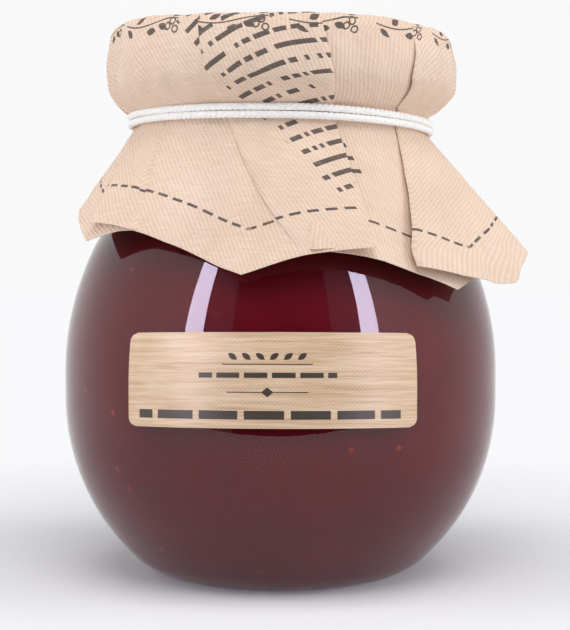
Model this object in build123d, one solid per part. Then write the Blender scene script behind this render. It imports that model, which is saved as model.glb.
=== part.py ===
from build123d import *
from math import asin, cos, degrees, radians, sin
import os

# A round-bellied jam jar of about 314 ml with a twist-off lid, dressed with a pleated paper cover that a
# doubled string ties under the lid. Millimetres, +Z up. The origin is the middle of the jar's foot,
# on the surface that it stands on. The front, with the label, faces -Y, and +X is to the right.

# Glass jar
BELLY_R = 42.2  # largest radius, and the radius of the ball that forms the lower body
BAND_TOP_Z = 39.3  # where the band ends and the upper body begins to close in
UPPER_R = 56.7  # radius of the upper body's arc
UPPER_END_Z = 63.2
SHOULDER_R = 24.0  # radius of the tighter shoulder arc above it
SHOULDER_END = 50.0  # slope at the shoulder's end, in degrees
NECK_R = 27.4
FINISH_R = 30.0  # the thicker ring under the lid
FINISH_Z = 93.5
MOUTH_Z = 103.8
HEEL_R = 13.9  # radius of the rounded edge between the foot and the body
FOOT_R = 19.2  # where the heel meets the foot
FOOT_LAND = 1.5  # width of the flat ring that the jar stands on
PUNT_H = 1.4  # how far the middle of the base is raised
WALL = 2.7
BASE_T = 5.0

# Jam
JAM_TOP_Z = 97.0

# Twist-off lid
LID_R = 33.1
LID_Z = 94.3
LID_TOP_Z = 104.4
SHEET_T = 0.6
CURL_R = 0.9
LID_EDGE_R = 1.8

# Label
LABEL_W = 54.1  # along the curve
LABEL_Z = (32.6, 49.0)
LABEL_TURN = -2.5  # middle of the label, in degrees from the front, positive to the right
LABEL_CORNER = 1.7
LABEL_T = 0.2

# String: two strands, one above the other
TIE_Z = 87.7
TIE_R = 29.2
STRAND_R = 0.7
STRAND_PITCH = 1.3
TIE_TILT = 1.5  # degrees, the left side higher
KNOT_R = 2.0
TAIL_LENGTH = 9.0

# Paper cover, cut as a regular octagon and folded down over the lid
APOTHEM = 75.5  # from the sheet's middle to the middle of a side
SIDES = 8
PAPER_T = 0.8  # the pleated layers together
RISE_AT_TIE = 52.5  # distance on the flat sheet from its middle to the string
SHEET_SHIFT = (3.2, -2.0)  # how far the sheet lies off the middle, so that it hangs lower there
TIE_BAND = 2.3  # how far above and below the string the paper is drawn in
PLEAT_STEP = 2.2  # how far a pleat's upper layer stands off the lower one at the hem
STEPS_ROUND = 96
SKIRT_RINGS = 3
LAID_CLEARANCE = 0.1  # between the paper and the lid
EDGE_CHORD = 0.76  # places the ring over the lid's rounded edge so that the facets clear it

# Each corner of the hanging skirt, in degrees from the front, with the skirt's lean off plumb at
# that corner and at the middle of the side that follows it. A pleat lies across each such middle.
SKIRT = (
    (-18.75, 22.0, 33.0),
    (33.75, 27.0, 31.0),
    (56.25, 27.0, 38.5),
    (105.0, 33.0, 33.0),
    (150.0, 30.0, 35.0),
    (191.25, 31.0, 35.0),
    (236.25, 32.0, 39.0),
    (288.75, 29.0, 34.0),
)


def on_arc(centre, radius, angle):
    """The point of an arc at an angle in degrees, in the (radius, height) plane."""
    return centre[0] + radius * cos(radians(angle)), centre[1] + radius * sin(radians(angle))


def arc(centre, radius, first, last):
    """An arc of the jar's outline, from one angle to another."""
    ends = [on_arc(centre, radius, a) for a in (first, (first + last) / 2, last)]
    return ThreePointArc(*[(r, z) for r, z in ends])


def body_outline(inset):
    """The jar's outer outline from the heel to the neck, moved inward by a wall's thickness."""
    ball = (BELLY_R - HEEL_TO_BALL_R, BALL_Z)
    upper = (BELLY_R - UPPER_R, BAND_TOP_Z)
    upper_end = degrees(asin((UPPER_END_Z - BAND_TOP_Z) / UPPER_R))
    join = on_arc(upper, UPPER_R, upper_end)
    shoulder = on_arc(join, SHOULDER_R, upper_end + 180)
    shoulder_join = on_arc(shoulder, SHOULDER_R, SHOULDER_END)
    neck_fillet = (shoulder_join[0] - NECK_R) / (1 - cos(radians(SHOULDER_END)))
    throat = on_arc(shoulder_join, neck_fillet, SHOULDER_END)
    edges = [
        arc((FOOT_R, HEEL_R), HEEL_R - inset, -90, -HEEL_END),
        arc(ball, HEEL_TO_BALL_R - inset, -HEEL_END, 0),
        Line((BELLY_R - inset, BALL_Z), (BELLY_R - inset, BAND_TOP_Z)),
        arc(upper, UPPER_R - inset, 0, upper_end),
        arc(shoulder, SHOULDER_R - inset, upper_end, SHOULDER_END),
        arc(throat, neck_fillet + inset, 180 + SHOULDER_END, 180),
    ]
    return edges


# The heel runs on into the ball without a corner: the slope where they meet follows from both.
HEEL_END = 47.5
HEEL_TO_BALL_R = (BELLY_R - FOOT_R - HEEL_R * cos(radians(HEEL_END))) / (1 - cos(radians(HEEL_END)))
BALL_Z = HEEL_R * (1 - sin(radians(HEEL_END))) + HEEL_TO_BALL_R * sin(radians(HEEL_END))


def turned(edges):
    """The solid made by turning a closed outline in the (radius, height) plane about the axis."""
    outline = Plane.XZ * make_face(edges)
    return revolve(outline, Axis.Z)


def closed_with(edges, points):
    """The edges, joined from their last end through the points back to their first one."""
    stops = [edges[-1] @ 1, *[Vector(r, z) for r, z in points], edges[0] @ 0]
    return edges + [Line(a, b) for a, b in zip(stops, stops[1:])]


def jar():
    """The glass: the outer form less its inside, with a raised base and a thicker finish."""
    outer = body_outline(0)
    finish = [
        (NECK_R, FINISH_Z - (FINISH_R - NECK_R)),
        (FINISH_R, FINISH_Z),
        (FINISH_R, MOUTH_Z - 0.6),
        (FINISH_R - 0.6, MOUTH_Z),
        (0, MOUTH_Z),
        (0, 0),
    ]
    whole = turned(closed_with(outer, finish))
    punt_r = FOOT_R - FOOT_LAND
    punt_ball = (punt_r**2 + PUNT_H**2) / (2 * PUNT_H)
    punt = Pos(0, 0, PUNT_H - punt_ball) * Sphere(punt_ball)
    return whole - inside(MOUTH_Z + 1) - punt


def inside(top_z):
    """The jar's inner space, from the top of its base up to a height."""
    inner = body_outline(WALL)
    floor_r = FOOT_R * 0.5
    rise = [(NECK_R - WALL, top_z), (0, top_z), (0, BASE_T), (floor_r, BASE_T)]
    solid = turned(closed_with(inner, rise))
    return solid


def jam():
    return inside(JAM_TOP_Z)


def lid():
    """A pressed steel cap with a rounded edge, a sunk panel and a curled rim."""
    panel_r = LID_R - 9.5
    panel_drop = 0.5
    inner_r = LID_R - SHEET_T
    inner_top = LID_TOP_Z - SHEET_T
    edge = LID_EDGE_R
    outline = [
        Line((0, inner_top - panel_drop), (panel_r, inner_top - panel_drop)),
        Line((panel_r, inner_top - panel_drop), (panel_r + 1, inner_top)),
        Line((panel_r + 1, inner_top), (LID_R - edge, inner_top)),
        RadiusArc((LID_R - edge, inner_top), (inner_r, LID_TOP_Z - edge), edge - SHEET_T),
        Line((inner_r, LID_TOP_Z - edge), (inner_r, LID_Z + CURL_R)),
        Line((inner_r, LID_Z + CURL_R), (LID_R, LID_Z + CURL_R)),
        Line((LID_R, LID_Z + CURL_R), (LID_R, LID_TOP_Z - edge)),
        RadiusArc((LID_R, LID_TOP_Z - edge), (LID_R - edge, LID_TOP_Z), -edge),
        Line((LID_R - edge, LID_TOP_Z), (panel_r + 1, LID_TOP_Z)),
        Line((panel_r + 1, LID_TOP_Z), (panel_r, LID_TOP_Z - panel_drop)),
        Line((panel_r, LID_TOP_Z - panel_drop), (0, LID_TOP_Z - panel_drop)),
        Line((0, LID_TOP_Z - panel_drop), (0, inner_top - panel_drop)),
    ]
    curl = Pos(0, 0, LID_Z + CURL_R) * Torus(LID_R - CURL_R, CURL_R)
    return turned(outline) + curl


def label():
    """A thin rectangle with rounded corners, wrapped round the front of the belly."""
    height = LABEL_Z[1] - LABEL_Z[0]
    half_turn = LABEL_W / 2 / BELLY_R
    chord = 2 * BELLY_R * sin(half_turn)
    skin = grown_body(LABEL_T) - grown_body(0)
    front = Plane.XZ * RectangleRounded(chord, height, LABEL_CORNER)
    punch = extrude(front, 2 * BELLY_R)
    punch = Rot(0, 0, LABEL_TURN) * Pos(0, 0, sum(LABEL_Z) / 2) * punch
    return skin & punch


def grown_body(extra):
    """The solid outer form between the heel and the shoulder, grown outward."""
    edges = body_outline(-extra)[1:4]
    return turned(closed_with(edges, [(0, (edges[-1] @ 1).Y), (0, (edges[0] @ 0).Y)]))


def string():
    """Two strands round the neck, tied behind with a knot and two short tails."""
    strands = [Pos(0, 0, side * STRAND_PITCH / 2) * Torus(TIE_R, STRAND_R) for side in (-1, 1)]
    tie = strands[0] + strands[1]
    knot_y = TIE_R + STRAND_R * 2
    tie += Pos(0, knot_y, 0) * Sphere(KNOT_R)
    for side in (-1, 1):
        start = Vector(side * 0.8, knot_y + 0.6, -0.8)
        run = Vector(side * 0.35, 0.45, -1.0).normalized() * TAIL_LENGTH
        tail = Plane(origin=start, z_dir=run) * Cylinder(
            STRAND_R, TAIL_LENGTH, align=(Align.CENTER, Align.CENTER, Align.MIN)
        )
        tie += tail
    return Pos(0, 0, TIE_Z) * Rot(0, TIE_TILT, 0) * tie


def side_at(angle):
    """The side of the sheet that hangs at an angle in degrees, and how far along it that is."""
    for k, (corner, _, _) in enumerate(SKIRT):
        width = (SKIRT[(k + 1) % SIDES][0] - corner) % 360
        into = (angle - corner) % 360
        if into < width:
            return k, into / width


def hem(angle):
    """How far the paper reaches below the string along its slope, its lean and its pleat step."""
    k, share = side_at(angle)
    flat_angle = radians(180 / SIDES) * (2 * share - 1)
    shift = SHEET_SHIFT[0] * sin(radians(angle)) - SHEET_SHIFT[1] * cos(radians(angle))
    reach = APOTHEM / cos(flat_angle) - RISE_AT_TIE + shift
    corner_lean = SKIRT[k if share < 0.5 else (k + 1) % SIDES][1]
    side_lean = SKIRT[k][2]
    lean = side_lean + (corner_lean - side_lean) * abs(2 * share - 1) ** 1.5
    step = PLEAT_STEP * ((share + 0.5) % 1)
    return reach, lean, step


def cover_rings(inset):
    """The rings of the cover's surface, each a radius, a height and a share of the pleats' step."""
    over_lid = LID_TOP_Z + PAPER_T + LAID_CLEARANCE - inset
    beside_lid = LID_R + PAPER_T + LAID_CLEARANCE - inset
    at_tie = TIE_R - STRAND_R - 0.05 - inset
    edge = EDGE_CHORD * (LID_EDGE_R + PAPER_T + LAID_CLEARANCE - inset)
    return [
        (LID_R / 3, over_lid, 0.0),
        (LID_R - LID_EDGE_R, over_lid, 0.0),
        (LID_R - LID_EDGE_R + edge, LID_TOP_Z - LID_EDGE_R + edge, 0.0),
        (beside_lid, LID_TOP_Z - LID_EDGE_R, 0.1),
        (beside_lid, (LID_TOP_Z + LID_Z) / 2, 0.35),
        (beside_lid, LID_Z, 0.3),
        (at_tie, TIE_Z + TIE_BAND, 0.0),
        (at_tie, TIE_Z - TIE_BAND, 0.0),
    ]


def cover_points(inset):
    """The cover's outer surface, or with an inset its inner one, as rings of points."""
    fixed = cover_rings(inset)
    tie_r, tie_z, _ = fixed[-1]
    rings = [[] for _ in range(len(fixed) + SKIRT_RINGS)]
    for i in range(STEPS_ROUND):
        angle = 360 * i / STEPS_ROUND
        reach, lean, step = hem(angle)
        across, along = sin(radians(angle)), -cos(radians(angle))
        spots = [(r + step * share, z) for r, z, share in fixed]
        for share in [(k + 1) / SKIRT_RINGS for k in range(SKIRT_RINGS)]:
            r = tie_r + reach * share * sin(radians(lean)) + step * share
            spots.append((r, tie_z - reach * share * cos(radians(lean))))
        for ring, (r, z) in zip(rings, spots):
            ring.append((r * across, r * along, z))
    return rings


def band(lower, upper):
    """The triangles between two closed rings of points."""
    count = len(lower)
    found = []
    for i in range(count):
        j = (i + 1) % count
        found.append((lower[i], lower[j], upper[j]))
        found.append((lower[i], upper[j], upper[i]))
    return found


def paper_cover():
    """A thin shell over the lid, drawn in at the string and flared into an eight-cornered skirt."""
    outer, inner = cover_points(0), cover_points(PAPER_T)
    triangles = []
    for rings in (outer, inner):
        middle = (0, 0, rings[0][0][2])
        first = rings[0]
        triangles += [(middle, a, b) for a, b in zip(first, first[1:] + first[:1])]
        for upper, lower in zip(rings, rings[1:]):
            triangles += band(lower, upper)
    triangles += band(outer[-1], inner[-1])
    faces = [Face(Wire.make_polygon(t)) for t in triangles]
    solid = Solid(Shell(faces))
    return solid if solid.volume > 0 else Solid(Shell([-f for f in faces]))


NODES = {
    "jar": jar,
    "jam": jam,
    "lid": lid,
    "label": label,
    "string": string,
    "paper_cover": paper_cover,
}

os.makedirs("parts", exist_ok=True)
for name, make in NODES.items():
    export_step(make(), f"parts/{name}.step")
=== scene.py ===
import bpy
import math
from functools import partial

import numpy as np
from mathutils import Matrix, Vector, noise


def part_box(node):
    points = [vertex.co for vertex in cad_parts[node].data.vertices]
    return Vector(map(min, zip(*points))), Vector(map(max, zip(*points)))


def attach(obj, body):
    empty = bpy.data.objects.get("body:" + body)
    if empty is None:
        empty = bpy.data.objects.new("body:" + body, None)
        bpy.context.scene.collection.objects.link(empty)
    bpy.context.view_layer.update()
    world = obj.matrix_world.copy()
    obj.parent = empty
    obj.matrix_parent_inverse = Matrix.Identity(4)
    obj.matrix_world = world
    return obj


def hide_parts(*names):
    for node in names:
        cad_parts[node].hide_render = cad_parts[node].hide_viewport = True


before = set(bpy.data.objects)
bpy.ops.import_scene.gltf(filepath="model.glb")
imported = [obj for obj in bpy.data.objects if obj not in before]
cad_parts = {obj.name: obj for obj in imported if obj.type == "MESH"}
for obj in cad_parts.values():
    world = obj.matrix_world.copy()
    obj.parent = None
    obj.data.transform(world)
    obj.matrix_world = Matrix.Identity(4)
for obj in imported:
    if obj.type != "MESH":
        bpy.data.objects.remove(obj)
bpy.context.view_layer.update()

# Lengths are in millimetres, and MM turns them to metres. The frame's nodes give what they can.
MM = 0.001
PER_MM = 1000.0  # a pattern of so many per millimetre, on Object coordinates in metres

# The glass: a ball with a rounded heel, a taller arc above its widest band, and a short neck.
BELLY_R = 42.2
FOOT_R, HEEL_R, HEEL_END = 19.2, 13.9, 47.5
BAND_TOP, UPPER_R, UPPER_END_Z = 39.3, 56.7, 63.2
SHOULDER_R, SHOULDER_END, NECK_R = 24.0, 50.0, 27.4
FINISH_R, FINISH_Z = 30.0, 93.5
MOUTH_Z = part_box("jar")[1].z / MM
MOUTH_R = 24.7
LIP = 0.8
WALL = 2.7
BASE_T = 5.0
PUNT = [(0, 1.4), (8.0, 1.15), (14.0, 0.65), (17.2, 0.15), (17.8, 0.0)]

JAM_TOP = 97.0
SOAK = 0.25  # how far the jam reaches into the glass, so that no gap shows

LID_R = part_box("lid")[1].x / MM
LID_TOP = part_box("lid")[1].z / MM
LID_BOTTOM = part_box("lid")[0].z / MM

TIE_Z = 87.7
TIE_R = 29.2
TIE_TILT = math.radians(1.5)

LABEL_W, LABEL_H, LABEL_CORNER = 54.1, 16.4, 1.7
LABEL_TURN = math.radians(-2.5)
LABEL_Z = (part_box("label")[0].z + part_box("label")[1].z) / 2 / MM

# The cover is a regular octagon of paper. RHO is a distance from the lid's middle, along the paper.
SIDES = 8
ACROSS_FLATS = 151.0
EDGE_RHO, SIDE_RHO, LID_FOOT_RHO, NECK_RHO, BAND_RHO = 30.8, 34.0, 42.3, 49.6, 53.5
TIE_RHO = 52.0
TOP_ROUND = 2.6  # how far the paper reaches out over the lid's rounded edge, and how far it drops
TOP_DROP = 2.3
PAPER_NECK_R, PAPER_TIE_R = 28.7, 28.3
BAND_ABOVE, BAND_BELOW = 1.7, 1.5  # the gathered band, above and below the string
SKIRT_SLOPE = 0.515  # the mean growth of the skirt's radius along the paper

# Where the middle of the sheet lies on the lid: along its corner that hangs near the front, and
# along the next corner but one, to the right.
SHEET_SHIFT = (1.9, 5.5)

# Each fold is given at four distances along the paper: the lid's edge, its foot, the string and the
# hem. It has the side whose paper lies on top, the angle of its edge from the front, and how deep
# the paper goes under.
LEVELS = (30.5, LID_FOOT_RHO, TIE_RHO, 79.0)
FOLDS = (
    ("right", (-27, -23, -20, 4), (0, 1.2, 3.6, 0)),
    ("left", (11.4, 15.5, 19.7, 22.0), (0.2, 3.0, 6.5, 10.5)),
    ("right", (47.0, 45.0, 49.0, 34.0), (0.2, 4.0, 11.0, 25.5)),
    ("left", (98, 97, 96, 99), (0, 5, 10, 14)),
    ("left", (136, 138, 139, 140), (0, 5, 10, 14)),
    ("right", (172, 170, 168, 166), (0, 4, 9, 12)),
    ("left", (222, 222, 220, 224), (0, 5, 10, 15)),
    ("left", (262, 262, 263, 264), (0, 4, 9, 12)),
    ("right", (298, 296, 293, 303), (0, 4, 9, 13)),
)
SPARE_FOLDS = range(3, 8)  # these take up whatever paper is left over
LAYER = (0.03, 0.22, 0.12, 1.05)  # the spacing of folded layers, at the four distances
START = -40.0  # the rings begin in the middle of the front left panel
CORNER_AT = -17.0  # the angle of the corner that hangs near the front

# The skirt's lean off plumb, in degrees, at angles from the front.
LEAN_FROM = -104
LEANS = (
    (LEAN_FROM, 34), (-88, 35), (-75, 33), (-60, 31), (-48, 30), (-39, 27), (-30, 24), (-17, 20.5),
    (-9, 24.5), (8, 28.5), (22, 29.5), (34, 27.5), (46, 27.5), (56, 29), (66, 34.5), (75, 38.5),
    (92, 36), (114, 30), (134, 35), (156, 30), (178, 34), (204, 29), (228, 34), (244, 31),
    (LEAN_FROM + 360, 34),
)


# ---------------------------------------------------------------- small helpers


def linear(hex_colour):
    """An sRGB hex colour as linear RGBA."""
    parts = [int(hex_colour[i : i + 2], 16) / 255 for i in (1, 3, 5)]
    return (*[c / 12.92 if c <= 0.04045 else ((c + 0.055) / 1.055) ** 2.4 for c in parts], 1.0)


def add_node(tree, kind, *inputs, at=None, **named):
    """Adds a node. A kind such as "Math MULTIPLY" names its operation too. Inputs are given in
    order, by name, or by number in at, as values, as sockets, or as nodes, whose first output is
    then linked. Other names set the node's own properties."""
    kind, _, operation = kind.partition(" ")
    node = tree.nodes.new("ShaderNode" + kind)
    if operation:
        node.operation = operation
    links = [*enumerate(inputs), *(at or {}).items()]
    for name, value in named.items():
        if hasattr(node, name):
            setattr(node, name, value)
        else:
            links.append((name.replace("_", " "), value))
    for key, value in links:
        if isinstance(value, bpy.types.Node):
            value = value.outputs[0]
        if isinstance(value, bpy.types.NodeSocket):
            tree.links.new(value, node.inputs[key])
        else:
            node.inputs[key].default_value = value
    return node


def new_material(name):
    """A material with an empty node tree, and the function that adds a node to it."""
    material = bpy.data.materials.new(name)
    material.use_nodes = True
    material.node_tree.nodes.clear()
    return material, partial(add_node, material.node_tree)


def set_stops(ramp, *stops):
    """Gives a ramp its two colours, each with its place."""
    for element, (position, colour) in zip(ramp.color_ramp.elements, stops):
        element.position = position
        element.color = linear(colour)


def select_only(piece=None):
    """Deselects everything, and then selects one piece and makes it the active one."""
    bpy.ops.object.select_all(action="DESELECT")
    if piece:
        piece.select_set(True)
        bpy.context.view_layer.objects.active = piece


def smooth(piece, degrees):
    """Shades a piece smooth, with sharp edges past an angle."""
    select_only(piece)
    bpy.ops.object.shade_smooth_by_angle(angle=math.radians(degrees))


def finish_piece(piece, material, node):
    """Gives a piece its material, says what it rides on, and hides the node it stands for."""
    piece.data.materials.clear()
    piece.data.materials.append(material)
    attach(piece, "root")
    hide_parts(node)
    return piece


def thicken(piece, name, thickness):
    """Turns a sheet into a thin solid, half of it on each side."""
    select_only(piece)
    solid = piece.modifiers.new(name, "SOLIDIFY")
    solid.thickness = thickness * MM
    solid.offset = 0
    bpy.ops.object.modifier_apply(modifier=name)


def ease(share):
    """A share from 0 to 1, slowed at both ends."""
    return share * share * (3 - 2 * share)


# ---------------------------------------------------------------- turned pieces


def arc_points(centre, radius, first, last, count):
    """Points on an arc in the (radius, height) plane, with angles in degrees."""
    angles = [math.radians(first + (last - first) * k / count) for k in range(count + 1)]
    return [(centre[0] + radius * math.cos(a), centre[1] + radius * math.sin(a)) for a in angles]


def body_outline(inset):
    """The jar's outline from the heel to the neck, moved inward by a thickness."""
    bend = math.radians(HEEL_END)
    ball_r = (BELLY_R - FOOT_R - HEEL_R * math.cos(bend)) / (1 - math.cos(bend))
    ball_z = HEEL_R * (1 - math.sin(bend)) + ball_r * math.sin(bend)
    upper_end = math.degrees(math.asin((UPPER_END_Z - BAND_TOP) / UPPER_R))
    upper = (BELLY_R - UPPER_R, BAND_TOP)
    join = arc_points(upper, UPPER_R, upper_end, upper_end, 1)[0]
    shoulder = arc_points(join, SHOULDER_R, upper_end + 180, 0, 1)[0]
    joint = arc_points(shoulder, SHOULDER_R, SHOULDER_END, 0, 1)[0]
    throat_r = (joint[0] - NECK_R) / (1 - math.cos(math.radians(SHOULDER_END)))
    throat = arc_points(joint, throat_r, SHOULDER_END, 0, 1)[0]
    return (
        arc_points((FOOT_R, HEEL_R), HEEL_R - inset, -90, -HEEL_END, 8)
        + arc_points((BELLY_R - ball_r, ball_z), ball_r - inset, -HEEL_END, 0, 22)[1:]
        + arc_points(upper, UPPER_R - inset, 0, upper_end, 12)
        + arc_points(shoulder, SHOULDER_R - inset, upper_end, SHOULDER_END, 6)[1:]
        + arc_points(throat, throat_r + inset, 180 + SHOULDER_END, 180, 6)[1:]
    )


def belly_radius(z):
    """The radius of the glass from its widest band up to the shoulder."""
    return BELLY_R - UPPER_R + math.sqrt(max(0.0, UPPER_R**2 - max(0.0, z - BAND_TOP) ** 2))


def turned_piece(name, outline, steps=144):
    """Draws an outline by extruding a vertex along it, and spins it about the jar's axis."""
    select_only()
    bpy.ops.mesh.primitive_plane_add(size=MM)
    piece = bpy.context.object
    piece.name = name
    bpy.ops.object.mode_set(mode="EDIT")
    bpy.ops.mesh.merge(type="CENTER")
    spots = [Vector((r * MM, 0, z * MM)) for r, z in outline]
    bpy.ops.transform.translate(value=spots[0])
    for here, there in zip(spots, spots[1:]):
        bpy.ops.mesh.extrude_vertices_move(TRANSFORM_OT_translate={"value": there - here})
    bpy.ops.mesh.select_all(action="SELECT")
    bpy.ops.mesh.spin(steps=steps, angle=2 * math.pi, center=(0, 0, 0), axis=(0, 0, 1))
    bpy.ops.mesh.select_all(action="SELECT")
    bpy.ops.mesh.remove_doubles(threshold=0.01 * MM)
    bpy.ops.mesh.normals_make_consistent(inside=False)
    bpy.ops.object.mode_set(mode="OBJECT")
    smooth(piece, 50)
    return piece


def mould_marks(jar):
    """Raises two mould seams and a ring on the heel, and makes the outside faintly uneven."""
    mark, seam_w, ring_z, ring_w = 0.12 * MM, 0.5 * MM, 3.7 * MM, 0.35 * MM
    unevenness, grain = 0.09 * MM, 0.055 * PER_MM
    for v in jar.data.vertices:
        r = math.hypot(v.co.x, v.co.y)
        is_outside = r > (BELLY_R - WALL) * MM * 0.72 or v.co.z < (BASE_T - 0.1) * MM
        if not is_outside or r <= 24 * MM or not 0.5 * MM < v.co.z <= 84 * MM:
            continue
        seam = math.exp(-((v.co.y / seam_w) ** 2)) * mark
        ring = math.exp(-(((v.co.z - ring_z) / ring_w) ** 2)) * mark
        push = (seam + ring + noise.noise(v.co * grain) * unevenness) / r
        v.co.x += v.co.x * push
        v.co.y += v.co.y * push


def make_jar():
    """The glass, with a raised base, a faint mould ring on the heel and two mould seams."""
    outer, inner = body_outline(0), body_outline(WALL)
    finish = [(NECK_R, 90.9), (FINISH_R, FINISH_Z), (FINISH_R, MOUTH_Z - LIP)]
    rim = [(FINISH_R - 0.7, MOUTH_Z), (MOUTH_R + 0.9, MOUTH_Z), (MOUTH_R, MOUTH_Z - LIP)]
    floor = [(9.0, BASE_T), (4.0, BASE_T), (0, BASE_T)]
    jar = turned_piece("jar_glass", PUNT + outer + finish + rim + inner[::-1] + floor)
    mould_marks(jar)
    return jar


def make_jam():
    """The jam up to its level, a little into the glass all round."""
    base, sag = BASE_T - SOAK, 0.3
    floor = [(0, base), (4.0, base), (9.0, base)]
    top = [(MOUTH_R + SOAK, JAM_TOP), (12.0, JAM_TOP - sag), (0, JAM_TOP - sag)]
    return turned_piece("jam_fill", floor + body_outline(WALL - SOAK) + top)


# ---------------------------------------------------------------- paper cover


def at_level(values, rho):
    """A value given at the four levels, at any distance along the paper."""
    return float(np.interp(rho, LEVELS, values))


def lean_at(degrees):
    """The skirt's lean off plumb, in radians."""
    turn = (degrees - LEAN_FROM) % 360 + LEAN_FROM
    k = max(i for i, (angle, _) in enumerate(LEANS[:-1]) if angle <= turn)
    (angle, lean), (next_angle, next_lean) = LEANS[k], LEANS[k + 1]
    return math.radians(lean + (next_lean - lean) * ease((turn - angle) / (next_angle - angle)))


def mean_radius(rho):
    """The mean radius of the cover at a distance along the paper."""
    far = 90.0
    stops = (0, EDGE_RHO, SIDE_RHO - 0.1, LID_FOOT_RHO, NECK_RHO, BAND_RHO, far)
    radii = (0, EDGE_RHO, LID_R + 0.35, LID_R + 0.6, PAPER_NECK_R, PAPER_TIE_R)
    return float(np.interp(rho, stops, (*radii, PAPER_TIE_R + (far - BAND_RHO) * SKIRT_SLOPE)))


def profile(rho, degrees):
    """The radius and height of the cover's lowest layer."""
    leftward = -math.sin(math.radians(degrees))
    top, side_r = LID_TOP + 0.25, LID_R + 0.3
    lift = 1.5 * max(0.0, leftward) ** 1.5
    tilt = math.tan(TIE_TILT) * TIE_R * leftward
    if rho < EDGE_RHO:
        return rho, top + lift * (rho / EDGE_RHO) ** 2
    if rho < SIDE_RHO:
        turn = (rho - EDGE_RHO) / (SIDE_RHO - EDGE_RHO) * math.pi / 2
        drop = TOP_DROP * (1 - math.cos(turn))
        return EDGE_RHO + TOP_ROUND * math.sin(turn), top - drop + lift
    if rho < LID_FOOT_RHO:
        share = (rho - SIDE_RHO) / (LID_FOOT_RHO - SIDE_RHO)
        z = top - TOP_DROP - share * (top - TOP_DROP - LID_BOTTOM)
        return side_r + 0.5 * math.sin(share * math.pi), z + lift * max(0.0, 1 - (rho - SIDE_RHO) / 8)
    if rho < NECK_RHO:
        share = (rho - LID_FOOT_RHO) / (NECK_RHO - LID_FOOT_RHO)
        r = side_r + (PAPER_NECK_R - side_r) * share**1.15 + 0.5 * math.sin(share * math.pi)
        return r, LID_BOTTOM + (TIE_Z + BAND_ABOVE - LID_BOTTOM) * share
    if rho < BAND_RHO:
        share = (rho - NECK_RHO) / (BAND_RHO - NECK_RHO)
        r = PAPER_NECK_R + (PAPER_TIE_R - PAPER_NECK_R) * math.sin(share * math.pi / 2)
        return r, TIE_Z + BAND_ABOVE - (BAND_ABOVE + BAND_BELOW) * share + tilt * share
    reach, lean = rho - BAND_RHO, lean_at(degrees)
    return PAPER_TIE_R + reach * math.sin(lean), TIE_Z - BAND_BELOW + tilt - reach * math.cos(lean)


def fold_widths(rho):
    """How deep each fold is at a distance along the paper, so that the ring's length is right."""
    widths = [at_level(depths, rho) for _, _, depths in FOLDS]
    spare = sum(widths[i] for i in SPARE_FOLDS)
    needed = math.pi * (rho - mean_radius(rho)) - sum(widths) + spare
    scale = max(0.0, needed) / spare if spare > 1e-6 else 0.0
    return [w * scale if i in SPARE_FOLDS else w for i, w in enumerate(widths)]


def column_counts():
    """How many columns of the mesh each panel and each layer under a fold has."""
    radius, panel_step, fold_step = 44, 1.1, 1.8
    counts, here = [], START
    for edge, depth in [(edges[-1], depths[-1]) for _, edges, depths in FOLDS] + [(START + 360, 0)]:
        length = math.radians(edge - here) * radius
        counts.append((max(6, int(length / panel_step) + 6), max(4, int(depth / fold_step) + 2)))
        here = edge
    return counts


def ring_path(rho, counts):
    """One ring of the folded cover: for each column its angle, its height over the lowest layer
    and its length along the flat ring."""
    radius = max(mean_radius(rho), 0.5)
    widths = fold_widths(rho)
    gap = at_level(LAYER, rho)
    path, run, here, low = [], 0.0, START, gap

    def panel(to, high, count):
        for i in range(count):
            share = i / count
            length = run + radius * math.radians(to - here) * share
            path.append((here + (to - here) * share, low + (high - low) * ease(share), length))

    for (side, edges, _), width, (across, under) in zip(FOLDS, widths, counts):
        spacing = gap * min(1.0, width / 4)
        edge, back = at_level(edges, rho), math.degrees(width / radius)
        first, last = (edge, edge - back) if side == "left" else (edge + back, edge)
        before, after = (2 * spacing, 0.0) if side == "left" else (0.0, 2 * spacing)
        bulge = math.degrees(0.5 * spacing / radius)
        panel(first, before, across)
        run += radius * math.radians(first - here)
        path.append((first, before, run))
        path.append((first + bulge, (before + spacing) / 2, run))
        for i in range(under + 1):
            path.append((first + (last - first) * i / under, spacing, run + width * i / under))
        run += width
        path.append((last - bulge, (spacing + after) / 2, run))
        here, low = last, after
    panel(START + 360, gap, counts[-1][0])
    return path, run + radius * math.radians(START + 360 - here)


def edge_distance(x, y):
    """How far a point of the flat sheet is inside its nearest side, and its place along it."""
    x, y = x - SHEET_SHIFT[0], y - SHEET_SHIFT[1]
    sides = []
    for k in range(SIDES):
        turn = 2 * math.pi * (k + 0.5) / SIDES
        out = x * math.cos(turn) + y * math.sin(turn)
        sides.append((ACROSS_FLATS / 2 - out, -x * math.sin(turn) + y * math.cos(turn)))
    return min(sides, key=lambda side: side[0])


def sheet_reach(phi):
    """How far the flat sheet reaches in one direction, found by halving."""
    low, high = 60.0, 95.0
    for _ in range(14):
        middle = (low + high) / 2
        inside = edge_distance(middle * math.cos(phi), middle * math.sin(phi))[0] > 0
        low, high = (middle, high) if inside else (low, middle)
    return low


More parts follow.
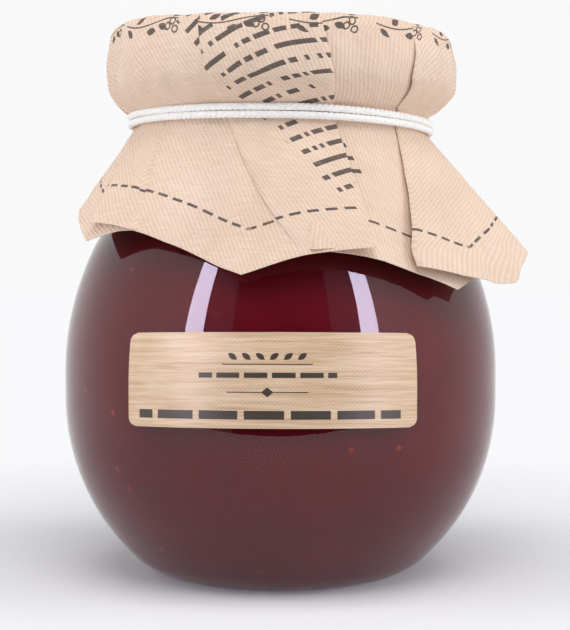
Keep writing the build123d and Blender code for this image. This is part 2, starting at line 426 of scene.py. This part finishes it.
def cover_point(rho, degrees, height, phi):
    """The place in space, in metres, of a point of the paper, with its crumples."""
    r, z = profile(rho, degrees)
    turn = math.radians(degrees)
    paper = Vector((rho * math.cos(phi), rho * math.sin(phi), 0))
    broad, broad_per_mm, broad_at = 0.55, 0.075, Vector((3.1, 0, 7.7))
    small, small_per_mm = 0.22, 0.2
    gather, gathers_per_turn, flat_end, gathers_end = 0.35, 31, 8, 50
    soft = min(1.0, max(0.0, (rho - flat_end) / 25))
    crumple = noise.noise(paper * broad_per_mm + broad_at) * broad
    crumple += noise.noise(paper * small_per_mm) * small
    if abs(rho - TIE_RHO) < 4:
        crumple *= 0.25  # the string holds the paper nearly smooth
    if rho < SIDE_RHO - 1:
        z += soft * (crumple * 0.8 + 0.25 * noise.noise(paper * 0.25)) + height + 0.15
    else:
        gathers = 0.0
        if SIDE_RHO < rho < gathers_end:
            bow = math.sin((rho - SIDE_RHO) / (gathers_end - SIDE_RHO) * math.pi)
            gathers = gather * math.sin(turn * gathers_per_turn + 2 * math.sin(phi * 5)) * bow
        r += height + max(-0.2, soft * crumple + gathers)
    if z < UPPER_END_Z + 0.8:
        r = max(r, belly_radius(z) + 0.35 + height * 0.6)
    return r * math.sin(turn) * MM, -r * math.cos(turn) * MM, z * MM


def cover_grid():
    """The cover's rings from the lid's middle to the hem: each point's place in space, and its
    place on the flat sheet as x, y, angle and distance."""
    rings = [6, 12, 18, 23, 27, 29.5, EDGE_RHO, 31.6, 32.4, 33.2, SIDE_RHO]
    rings += [*np.linspace(34.9, LID_FOOT_RHO, 10), *np.linspace(43.2, NECK_RHO, 9)]
    rings += [50.4, 51.2, TIE_RHO, 52.8, BAND_RHO]
    skirt_rings = 30
    counts = column_counts()
    reference, total = ring_path(LEVELS[-1], counts)
    corner_run = next(run for degrees, _, run in reference if degrees >= CORNER_AT)
    corner_phi = corner_run / total * 2 * math.pi
    per_mm, table = 5, {}

    def column(rho, j):
        """The angle, the height and the flat angle of a column, between two tabled rings."""
        key = round(rho * per_mm)
        for k in (key, key + 1):
            if k not in table:
                table[k] = ring_path(k / per_mm, counts)
        (low, low_total), (high, high_total) = table[key], table[key + 1]
        share = rho * per_mm - key
        degrees, height, run = [a + (b - a) * share for a, b in zip(low[j], high[j])]
        flat_turn = run / (low_total + (high_total - low_total) * share) * 2 * math.pi
        return degrees, height, flat_turn - corner_phi

    columns = []
    for j in range(len(reference)):
        reach = 78.0
        for _ in range(4):
            reach = sheet_reach(column(reach, j)[2])
        step = (reach - BAND_RHO) / skirt_rings
        points = []
        for rho in rings + [BAND_RHO + step * (k + 1) for k in range(skirt_rings)]:
            degrees, height, phi = column(rho, j)
            flat = (rho * math.cos(phi), rho * math.sin(phi), phi, rho)
            points.append((cover_point(rho, degrees, height, phi), flat))
        columns.append(points)
    return list(zip(*columns))


def unfold(mesh, grid, width):
    """Gives the mesh three maps: the flat sheet, the hem and its sides, and rings round the lid."""
    lay_flat, lay_hem, lay_ring = [mesh.uv_layers.new(name=n) for n in ("flat", "hem", "ring")]
    for face in mesh.polygons:
        places = [(mesh.loops[loop].vertex_index - 1) % width for loop in face.loop_indices]
        closes = max(places) > width / 2
        for loop, place in zip(face.loop_indices, places):
            index = mesh.loops[loop].vertex_index
            x, y, phi, rho = grid[(index - 1) // width][place][1] if index else (0.0, 0.0, 0.0, 0.0)
            if index and place == 0 and closes:
                phi += 2 * math.pi
            inside, along = edge_distance(x, y)
            lay_flat.data[loop].uv = (x / 200 + 0.5, y / 200 + 0.5)
            lay_hem.data[loop].uv = (inside / 100, along / 100)
            lay_ring.data[loop].uv = (phi / (2 * math.pi), rho / 100)


def make_cover():
    """The sheet of kraft paper, folded over the lid, gathered at the string and let hang."""
    grid = cover_grid()
    width = len(grid[0])
    verts = [(0, 0, (LID_TOP + 0.4) * MM)]
    for ring in grid:
        verts += [place for place, _ in ring]
    faces = []
    for j in range(width):
        k = (j + 1) % width
        faces.append((0, 1 + j, 1 + k))
        for i in range(len(grid) - 1):
            a, b = 1 + i * width, 1 + (i + 1) * width
            faces.append((a + j, b + j, b + k, a + k))
    mesh = bpy.data.meshes.new("paper_cover_sheet")
    mesh.from_pydata(verts, [], faces)
    cover = bpy.data.objects.new("paper_cover_sheet", mesh)
    bpy.context.scene.collection.objects.link(cover)
    unfold(mesh, grid, width)
    select_only(cover)
    bpy.ops.object.mode_set(mode="EDIT")
    bpy.ops.mesh.select_all(action="SELECT")
    bpy.ops.mesh.normals_make_consistent(inside=False)
    bpy.ops.object.mode_set(mode="OBJECT")
    thicken(cover, "paper_thickness", 0.16)
    smooth(cover, 60)
    return cover


# ---------------------------------------------------------------- string and label


def ply_curve(path, closed, turns, phase):
    """One ply of a strand, wound round the strand's centreline."""
    spread, radius = 0.26 * MM, 0.46 * MM
    data = bpy.data.curves.new("ply", "CURVE")
    data.dimensions = "3D"
    data.bevel_depth = radius
    data.bevel_resolution = 2
    data.resolution_u = 2
    spline = data.splines.new("NURBS")
    spline.points.add(len(path) - 1)
    for k, point in enumerate(path):
        ahead = path[(k + 1) % len(path)] if closed or k + 1 < len(path) else path[k]
        behind = path[k - 1] if closed or k else path[k]
        along = (ahead - behind).normalized()
        side = along.cross(Vector((0, 0, 1)))
        side = side.normalized() if side.length > 1e-3 else Vector((1, 0, 0))
        up = side.cross(along)
        turn = phase + 2 * math.pi * turns * k / len(path)
        place = point + (side * math.cos(turn) + up * math.sin(turn)) * spread
        spline.points[k].co = (*place, 1)
    spline.use_cyclic_u = closed
    spline.order_u = 3
    spline.use_endpoint_u = not closed
    piece = bpy.data.objects.new("ply", data)
    bpy.context.scene.collection.objects.link(piece)
    return piece


def strand_paths():
    """The centrelines of the string, each with whether it closes and how often its plies turn:
    two strands round the neck, the knot's two loops, and two tails."""
    steps, half_gap, slack, dip = 420, 0.66, 0.14, 0.15
    paths = []
    for side in (-1, 1):
        points = []
        for k in range(steps):
            turn = 2 * math.pi * k / steps
            sway = noise.noise(Vector((math.cos(turn), math.sin(turn), side)) * 2.2)
            r = TIE_R + 0.1 + 0.12 * sway
            z = TIE_Z - math.tan(TIE_TILT) * r * math.sin(turn)
            z += side * (half_gap + slack * sway) + dip * math.sin(2 * turn + 1)
            points.append(Vector((r * math.sin(turn), -r * math.cos(turn), z)) * MM)
        paths.append((points, True, 58))
    behind = Vector((0, TIE_R + 0.9, TIE_Z))
    for tilt, size in ((0.5, 1.75), (-0.6, 1.6)):
        points = []
        for k in range(40):
            turn = 2 * math.pi * k / 40
            x = size * 0.75 * math.sin(turn) * math.sin(tilt) + size * tilt
            spot = Vector((x, size * 0.72 * math.cos(turn), size * math.sin(turn)))
            points.append((behind + spot) * MM)
        paths.append((points, True, 4))
    tail = 10.0
    for side in (-1, 1):
        points = []
        for k in range(36):
            s = k / 35 * tail
            spot = Vector((side * (0.5 + 0.42 * s), 0.9 + 0.34 * s, -0.8 - 0.78 * s - 0.008 * s * s))
            points.append((behind + spot) * MM)
        paths.append((points, False, 3))
    return paths


def make_string():
    """Each strand is three plies, twisted, and all are one soft white piece."""
    plies = 3
    pieces = []
    for path, closed, turns in strand_paths():
        for ply in range(plies):
            pieces.append(ply_curve(path, closed, turns, 2 * math.pi * ply / plies))
    select_only(pieces[0])
    for piece in pieces:
        piece.select_set(True)
    bpy.ops.object.convert(target="MESH")
    bpy.ops.object.join()
    string = bpy.context.object
    string.name = "tie_string"
    bpy.ops.object.shade_smooth()
    return string


def make_label():
    """A rounded rectangle of paper, bent round the belly from a flat grid."""
    select_only()
    bpy.ops.mesh.primitive_grid_add(x_subdivisions=110, y_subdivisions=40, size=1)
    label = bpy.context.object
    label.name = "front_label"
    droop, lift, ripple = 0.5, 0.1, 0.02
    flat = {}
    for v in label.data.vertices:
        across, up = v.co.x * LABEL_W, v.co.y * LABEL_H
        into = abs(up) - (LABEL_H / 2 - LABEL_CORNER)
        if into > 0:
            cut = LABEL_CORNER - math.sqrt(max(0.0, LABEL_CORNER**2 - into**2))
            across *= 1 - cut / (LABEL_W / 2)
        flat[v.index] = (across / LABEL_W + 0.5, up / LABEL_H + 0.5)
        z = LABEL_Z + up - droop * (2 * across / LABEL_W) ** 2
        r = belly_radius(z) + lift + noise.noise(Vector((across * 0.25, up * 0.25, 4))) * ripple
        turn = LABEL_TURN + across / BELLY_R
        v.co = (r * math.sin(turn) * MM, -r * math.cos(turn) * MM, z * MM)
    layer = label.data.uv_layers.active
    layer.name = "flat"
    for loop in label.data.loops:
        layer.data[loop.index].uv = flat[loop.vertex_index]
    thicken(label, "label_thickness", 0.1)
    smooth(label, 50)
    return label


# ---------------------------------------------------------------- materials


def clear_glass():
    """Soda-lime glass, moulded: clear and glossy, with a faintly wavy skin that bends reflections.
    Shadows pass through it, so that the jam behind it is lit."""
    material, add = new_material("soda_lime_glass")
    place = add("TexCoord").outputs["Object"]
    waves = add("TexNoise", Vector=place, Scale=0.038 * PER_MM, Detail=2.0)
    bump = add("Bump", Strength=0.04, Distance=0.5 * MM, Height=waves)
    glass = add(
        "BsdfPrincipled", Base_Color=linear("#FDFEFE"), Roughness=0.0, IOR=1.5,
        Transmission_Weight=1.0, Normal=bump,
    )
    clear = add("BsdfTransparent", Color=linear("#F6F8F8"))
    is_shadow = add("LightPath").outputs["Is Shadow Ray"]
    add("OutputMaterial", Surface=add("MixShader", is_shadow, glass, clear))
    return material


def strawberry_jam():
    """Cooked strawberries: a deep red, cloudy pulp, with pale seeds scattered just under the glass.
    The seeds lie in some of the cells of a grid of about 5 mm."""
    material, add = new_material("strawberry_jam")
    place = add("TexCoord").outputs["Object"]
    cloud = add("TexNoise", Vector=place, Scale=0.09 * PER_MM, Detail=4.0, Roughness=0.6)
    pulp = add("Mix", cloud, data_type="RGBA", at={6: linear("#4A030C"), 7: linear("#600A18")})
    cells = add("TexVoronoi", Vector=place, Scale=0.21 * PER_MM, Randomness=1.0, feature="F1")
    patches = add("TexNoise", Vector=place, Scale=0.16 * PER_MM, Detail=1.0)
    near = add("MapRange", cells.outputs["Distance"], 0.06, 0.15, 1.0, 0.0)
    chosen = add("MapRange", patches, 0.47, 0.57, 0.0, 0.5)
    seeds = add("Math MULTIPLY", near, chosen)
    colour = add("Mix", seeds, data_type="RGBA", at={6: pulp.outputs[2], 7: linear("#B4482E")})
    jam = add(
        "BsdfPrincipled", Base_Color=colour.outputs[2], Roughness=0.35, IOR=1.4,
        Specular_IOR_Level=0.05,
    )
    add("OutputMaterial", Surface=jam)
    return material


def stitch_print(add):
    """A dashed line eight millimetres inside the hem."""
    inset, half_line, pitch, dash_share = 7.9, 0.26, 3.3, 0.64
    hem = add("SeparateXYZ", add("UVMap", uv_map="hem"))
    inside = add("Math MULTIPLY", hem.outputs[0], 100.0)
    along = add("Math MULTIPLY", hem.outputs[1], 100.0)
    off_line = add("Math ABSOLUTE", add("Math SUBTRACT", inside, inset))
    line = add("Math LESS_THAN", off_line, half_line)
    step = add("Math FRACT", add("Math DIVIDE", add("Math ADD", along, 200.0), pitch))
    return add("Math MULTIPLY", line, add("Math LESS_THAN", step, dash_share))


def repeat(add, length, start, pitch):
    """The distance from the nearest of a row of places, one every pitch."""
    from_edge = add("Math DIVIDE", add("Math SUBTRACT", length, start - pitch / 2), pitch)
    whole = add("Math MULTIPLY", add("Math FRACT", from_edge), pitch)
    return add("Math SUBTRACT", whole, pitch / 2)


def sprig_print(add):
    """A generic sprig, repeated round the lid's edge: a waving stem with a gap in every length,
    leaves on both sides of it, and open berries."""
    length, stem_rho, wave, half_line = 18.0, 33.2, 0.6, 0.12
    leaves = (  # pitch, start, height over the stem, half length, half width, lean
        (9.0, 2.0, 1.15, 1.35, 0.62, 0.5), (9.0, 4.6, -1.1, 1.25, 0.6, -0.45),
        (18.0, 8.2, 1.3, 1.2, 0.66, 0.2),
    )
    berries, berry_r, berry_line = ((12.2, 1.3), (13.9, 1.9), (13.2, 0.5)), 0.58, 0.15
    ring = add("SeparateXYZ", add("UVMap", uv_map="ring"))
    along = add("Math MULTIPLY", ring.outputs[0], 12 * length)
    rho = add("Math MULTIPLY", ring.outputs[1], 100.0)
    sine = add("Math SINE", add("Math MULTIPLY", along, 0.349))
    over_stem = add("Math SUBTRACT", rho, add("Math MULTIPLY_ADD", sine, wave, stem_rho))
    stem = add("Math LESS_THAN", add("Math ABSOLUTE", over_stem), half_line)
    not_gap = add("Math LESS_THAN", add("Math FRACT", add("Math DIVIDE", along, length)), 0.8)
    sprig = add("Math MULTIPLY", stem, not_gap)
    for pitch, start, height, half_length, half_width, lean in leaves:
        across = repeat(add, along, start, pitch)
        up = add("Math SUBTRACT", over_stem, height)
        leaned = add("Math ADD", across, add("Math MULTIPLY", up, lean))
        raised = add("Math SUBTRACT", up, add("Math MULTIPLY", across, lean))
        by_length = add("Math DIVIDE", leaned, half_length)
        by_width = add("Math ABSOLUTE", add("Math DIVIDE", raised, half_width))
        outline = add("Math ADD", add("Math MULTIPLY", by_length, by_length), by_width)
        sprig = add("Math MAXIMUM", sprig, add("Math LESS_THAN", outline, 1.0))
    for start, height in berries:
        across = repeat(add, along, start, length)
        up = add("Math SUBTRACT", over_stem, height)
        squares = add("Math ADD", add("Math MULTIPLY", across, across), add("Math MULTIPLY", up, up))
        off_ring = add("Math ABSOLUTE", add("Math SUBTRACT", add("Math SQRT", squares), berry_r))
        sprig = add("Math MAXIMUM", sprig, add("Math LESS_THAN", off_ring, berry_line))
    return sprig


def bars_print(add, flat):
    """A slanted block of plain broken bars on the front of the sheet, with nothing to read."""
    turn, pitch, half_bar, slip, cell = math.radians(130), 2.7, 0.16, 2.3, 0.8
    half_wide, half_high = 12.5, 22.2
    x = 100 + 45 * math.cos(math.radians(25))
    y = 100 + 45 * math.sin(math.radians(25))
    across_at = -x * math.cos(turn) - y * math.sin(turn)
    down_at = x * math.sin(turn) - y * math.cos(turn)
    block = add("Mapping", Vector=flat, Location=(across_at, down_at, 0), Rotation=(0, 0, -turn))
    across, down = add("SeparateXYZ", block).outputs[:2]
    rows = add("Math DIVIDE", down, pitch)
    row = add("Math FLOOR", rows)
    off_bar = add("Math ABSOLUTE", add("Math SUBTRACT", add("Math FRACT", rows), 0.5))
    bar = add("Math LESS_THAN", off_bar, half_bar)
    slipped = add("Math ADD", across, add("Math MULTIPLY", row, slip))
    seat = add("CombineXYZ", add("Math FLOOR", add("Math DIVIDE", slipped, cell)), row)
    chance = add("TexWhiteNoise", Vector=seat).outputs["Value"]
    broken = add("Math MULTIPLY", bar, add("Math GREATER_THAN", chance, 0.3))
    in_width = add("Math LESS_THAN", add("Math ABSOLUTE", across), half_wide)
    in_height = add("Math LESS_THAN", add("Math ABSOLUTE", down), half_high)
    return add("Math MULTIPLY", broken, add("Math MULTIPLY", in_width, in_height))


def kraft_paper():
    """Ribbed kraft paper: light brown and matte, with laid ribs about 0.75 mm apart, fibres along
    them, small dark flecks and soft creases, printed in one dark, slightly patchy ink. Its map
    is turned back to the flat sheet's millimetres, so its scales are per millimetre."""
    material, add = new_material("ribbed_kraft_paper")
    along_ribs = (0, 0, math.radians(62))
    uv = add("UVMap", uv_map="flat")
    flat = add("VectorMath SCALE", uv, Scale=200.0)
    turned = add("Mapping", Vector=flat, Rotation=along_ribs)
    ribs = add(
        "TexWave", Vector=turned, Scale=0.42, Distortion=0.6, Detail=1.5, bands_direction="X"
    ).outputs[1]
    drawn_out = add("Mapping", Vector=flat, Rotation=along_ribs, Scale=(1.0, 0.12, 1.0))
    fibres = add("TexNoise", Vector=drawn_out, Scale=2.2, Detail=5.0, Roughness=0.7)
    blotches = add("TexNoise", Vector=flat, Scale=0.07, Detail=3.0)
    flecks = add("TexNoise", Vector=flat, Scale=3.0, Detail=2.0)
    creases = add("TexNoise", Vector=flat, Scale=0.22, Detail=6.0, Roughness=0.62)

    tone = add("Math MULTIPLY", blotches, 0.35)
    tone = add("Math MULTIPLY_ADD", fibres, 0.7, tone)
    tone = add("Math MULTIPLY_ADD", ribs, 0.22, tone)
    paper = add("ValToRGB", add("Math SUBTRACT", tone, 0.12))
    set_stops(paper, (0.15, "#CFAF96"), (0.75, "#ECD6C4"))
    spots = add("MapRange", flecks, 0.69, 0.75, 0.0, 0.35)
    ground = add("Mix", spots, data_type="RGBA", at={6: paper, 7: linear("#A07C58")})

    ink = add("Math MAXIMUM", stitch_print(add), sprig_print(add))
    ink = add("Math MAXIMUM", ink, bars_print(add, flat))
    ink = add("Math MULTIPLY", ink, add("MapRange", fibres, 0.3, 0.5, 0.72, 0.93))
    colour = add("Mix", ink, data_type="RGBA", at={6: ground.outputs[2], 7: linear("#4A403B")})

    relief = add("Math MULTIPLY_ADD", ribs, 0.5, add("Math MULTIPLY", fibres, 0.8))
    relief = add("Math MULTIPLY_ADD", creases, 3.0, relief)
    bump = add("Bump", Strength=0.5, Distance=0.3 * MM, Height=relief)
    sheet = add(
        "BsdfPrincipled", Base_Color=colour.outputs[2], Roughness=0.78, Normal=bump,
        Specular_IOR_Level=0.25,
    )
    add("OutputMaterial", Surface=sheet)
    return material


def cotton():
    """Soft cotton string: white and matte, with a fine nap of fibres about 0.4 mm apart."""
    material, add = new_material("twisted_cotton")
    place = add("TexCoord").outputs["Object"]
    fibres = add("TexNoise", Vector=place, Scale=2.6 * PER_MM, Detail=3.0)
    white = add("ValToRGB", fibres)
    set_stops(white, (0.3, "#F0EFEE"), (0.65, "#FFFEFD"))
    bump = add("Bump", Strength=0.25, Distance=0.1 * MM, Height=fibres)
    cloth = add(
        "BsdfPrincipled", Base_Color=white, Roughness=0.9, Sheen_Weight=0.3,
        Specular_IOR_Level=0.2, Normal=bump,
    )
    add("OutputMaterial", Surface=cloth)
    return material


def bar_row(add, x, y, height, half_line, half_wide, pitch, share):
    """A row of plain bars on the label: its height, its half sizes, and how much of each pitch
    is filled."""
    line = add("Math LESS_THAN", add("Math ABSOLUTE", add("Math SUBTRACT", y, height)), half_line)
    span = add("Math LESS_THAN", add("Math ABSOLUTE", x), half_wide)
    step = add("Math FRACT", add("Math DIVIDE", add("Math ADD", x, 100.0), pitch))
    filled = add("Math LESS_THAN", step, share)
    return add("Math MULTIPLY", add("Math MULTIPLY", line, span), filled)


def label_print(add, size):
    """A plain generic ornament: two rows of bars, two thin rules, a row of small leaves and a
    drop."""
    spot = add("SeparateXYZ", size)
    x = add("Math SUBTRACT", spot.outputs[0], 26.6)
    y = add("Math SUBTRACT", spot.outputs[1], LABEL_H / 2)
    ink = bar_row(add, x, y, -5.9, 0.75, 24.0, 8.0, 0.86)
    ink = add("Math MAXIMUM", ink, bar_row(add, x, y, 0.9, 0.45, 12.0, 4.8, 0.84))
    ink = add("Math MAXIMUM", ink, bar_row(add, x, y, 2.75, 0.09, 7.8, 100.0, 1.0))
    ink = add("Math MAXIMUM", ink, bar_row(add, x, y, -2.0, 0.09, 7.0, 100.0, 1.0))

    leaf_pitch, leaf_lean, leaf_height, half_row = 2.4, 0.7, 4.1, 7.2
    side = add("Math ABSOLUTE", x)
    across = repeat(add, side, leaf_pitch / 2, leaf_pitch)
    up = add("Math SUBTRACT", y, leaf_height)
    off_vein = add("Math SUBTRACT", up, add("Math MULTIPLY", across, leaf_lean))
    along_vein = add("Math ADD", across, add("Math MULTIPLY", up, leaf_lean))
    by_length = add("Math MULTIPLY", add("Math MULTIPLY", along_vein, along_vein), 0.75)
    by_width = add("Math MULTIPLY", add("Math ABSOLUTE", off_vein), 1.7)
    leaf = add("Math LESS_THAN", add("Math ADD", by_length, by_width), 1.0)
    leaves = add("Math MULTIPLY", leaf, add("Math LESS_THAN", side, half_row))

    drop_wide = add("Math ABSOLUTE", add("Math MULTIPLY", x, 0.8))
    drop_high = add("Math ABSOLUTE", add("Math ADD", y, 2.0))
    drop = add("Math LESS_THAN", add("Math ADD", drop_wide, drop_high), 0.85)
    return add("Math MAXIMUM", add("Math MAXIMUM", ink, leaves), drop)


def label_paper():
    """Coated label paper, half glossy, printed with pale wood grain: long streaks, finer ones
    between them, and a woven tooth of 0.4 mm."""
    material, add = new_material("wood_grain_label")
    uv = add("UVMap", uv_map="flat")
    size = add("VectorMath MULTIPLY", uv, (LABEL_W, LABEL_H, 1))
    long_streaks = add("Mapping", Vector=size, Scale=(0.035, 1.0, 1.0))
    grain = add("TexNoise", Vector=long_streaks, Scale=1.1, Detail=6.0, Roughness=0.65)
    short_streaks = add("Mapping", Vector=size, Scale=(0.12, 3.0, 1.0))
    fine = add("TexNoise", Vector=short_streaks, Scale=1.4, Detail=3.0)
    weave = add("TexChecker", Vector=size, Scale=2.6).outputs[1]
    tone = add("Math MULTIPLY", weave, 0.05)
    tone = add("Math MULTIPLY_ADD", fine, 0.35, tone)
    tone = add("Math MULTIPLY_ADD", grain, 0.75, tone)
    wood = add("ValToRGB", tone)
    set_stops(wood, (0.42, "#BF9A76"), (0.68, "#DFC6AB"))
    ink = add("Math MULTIPLY", label_print(add, size), 0.93)
    colour = add("Mix", ink, data_type="RGBA", at={6: wood, 7: linear("#1E1C1C")})
    bump = add("Bump", Strength=0.15, Distance=0.1 * MM, Height=tone)
    paper = add(
        "BsdfPrincipled", Base_Color=colour.outputs[2], Roughness=0.42, IOR=1.45,
        Specular_IOR_Level=0.4, Normal=bump,
    )
    add("OutputMaterial", Surface=paper)
    return material


def lacquered_tin():
    """Tinplate with a cream lacquer: smooth and satin, with a faint grain of about 1 mm from
    rolling."""
    material, add = new_material("lacquered_tinplate")
    place = add("TexCoord").outputs["Object"]
    grain = add("TexNoise", Vector=place, Scale=0.9 * PER_MM, Detail=2.0)
    rough = add("MapRange", grain, 0.3, 0.7, 0.28, 0.38)
    tin = add("BsdfPrincipled", Base_Color=linear("#E7DFCE"), Roughness=rough)
    add("OutputMaterial", Surface=tin)
    return material


# ---------------------------------------------------------------- stage

PANEL_Y, PANEL_TOP = -158, 300
TARGET = Vector((0, 0, 60)) * MM


def glow(name, colour, strength):
    """A material that only gives light."""
    material, add = new_material(name)
    add("OutputMaterial", Surface=add("Emission", Color=linear(colour), Strength=strength))
    return material


def stage_panel(name, low_x, high_x, y, material):
    """An upright panel in front of the jar that only reflections see."""
    select_only()
    bpy.ops.mesh.primitive_plane_add(size=1)
    panel = bpy.context.object
    panel.name = name
    corners = ((low_x, 0), (high_x, 0), (low_x, PANEL_TOP), (high_x, PANEL_TOP))
    for v, (x, z) in zip(panel.data.vertices, corners):
        v.co = (x * MM, y * MM, z * MM)
    panel.data.materials.append(material)
    panel.visible_camera = False
    panel.visible_diffuse = False
    panel.visible_transmission = False
    panel.visible_shadow = False


def soft_light(name, place, wide, high, power):
    """A white area light aimed at the jar, which reflections don't see."""
    data = bpy.data.lights.new(name, "AREA")
    data.shape = "RECTANGLE"
    data.size, data.size_y = wide, high
    data.energy = power
    lamp = bpy.data.objects.new(name, data)
    bpy.context.scene.collection.objects.link(lamp)
    lamp.location = place
    lamp.rotation_euler = (TARGET - Vector(place)).to_track_quat("-Z", "Y").to_euler()
    lamp.visible_glossy = False
    lamp.visible_camera = False


def make_floor():
    """A pale table round the jar, which fades into the white of the studio."""
    select_only()
    bpy.ops.mesh.primitive_circle_add(vertices=96, radius=3.0, fill_type="NGON")
    floor = bpy.context.object
    floor.name = "floor"
    material, add = new_material("pale_table")
    place = add("TexCoord").outputs["Object"]
    far = add("VectorMath LENGTH", place).outputs["Value"]
    fade = add("MapRange", far, 60 * MM, 200 * MM, 0.0, 1.0, interpolation_type="SMOOTHSTEP")
    table = add("BsdfDiffuse", Color=linear("#F0F0F4"))
    white = add("Emission", Color=linear("#F9F9FB"), Strength=1.0)
    add("OutputMaterial", Surface=add("MixShader", fade, table, white))
    floor.data.materials.append(material)


def make_world():
    """White to the camera, in reflections and through glass, and a dimmer fill elsewhere."""
    world = bpy.data.worlds.new("studio")
    bpy.context.scene.world = world
    world.use_nodes = True
    world.node_tree.nodes.clear()
    add = partial(add_node, world.node_tree)
    ray = add("LightPath").outputs
    seen = add("Math MAXIMUM", ray["Is Camera Ray"], ray["Is Glossy Ray"])
    seen = add("Math MAXIMUM", seen, ray["Is Transmission Ray"])
    fill = add("Background", Color=linear("#FFFFFF"), Strength=0.36)
    white = add("Background", Color=linear("#F9F9FA"), Strength=1.0)
    add("OutputWorld", Surface=add("MixShader", seen, fill, white))


def make_lights():
    """A dark card, two dim panels and two bright strips, for the glass, and three soft lights."""
    dark = glow("dark_card", "#000000", 0.0)
    dim = glow("dim_panel", "#8A7F8A", 1.0)
    strip = glow("strip_light", "#EDE2FF", 17.0)
    stage_panel("card_middle", -64, 68, PANEL_Y, dark)
    stage_panel("panel_left", -118, -64, PANEL_Y - 1, dim)
    stage_panel("panel_right", 68, 126, PANEL_Y - 1, dim)
    stage_panel("strip_left", -170, -118, PANEL_Y - 2, strip)
    stage_panel("strip_right", 126, 180, PANEL_Y - 2, strip)
    soft_light("key_top", (0.05, -0.35, 0.75), 0.5, 0.5, 3.4)
    soft_light("side_left", (-0.6, -0.15, 0.3), 0.3, 0.6, 1.7)
    soft_light("side_right", (0.6, -0.15, 0.3), 0.3, 0.6, 1.7)


def make_camera():
    """The camera stands about 300 mm in front of the axis, a little above the middle, and looks
    slightly down."""
    data = bpy.data.cameras.new("camera")
    camera = bpy.data.objects.new("camera", data)
    bpy.context.scene.collection.objects.link(camera)
    data.lens, data.sensor_width, data.clip_start = 85.7, 36.0, 10 * MM
    camera.location = (0, -296.3 * MM, 60.6 * MM)
    camera.rotation_euler = (math.radians(90 - 1.95), 0, math.radians(-0.164))
    bpy.context.scene.camera = camera


# ---------------------------------------------------------------- the object

make_camera()
finish_piece(make_jar(), clear_glass(), "jar")
finish_piece(make_jam(), strawberry_jam(), "jam")
cover = finish_piece(make_cover(), kraft_paper(), "paper_cover")
finish_piece(make_string(), cotton(), "string")
label = finish_piece(make_label(), label_paper(), "label")
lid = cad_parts["lid"]
lid.data.materials.clear()
lid.data.materials.append(lacquered_tin())
make_floor()
make_world()
make_lights()
bpy.context.scene.view_settings.view_transform = "Standard"
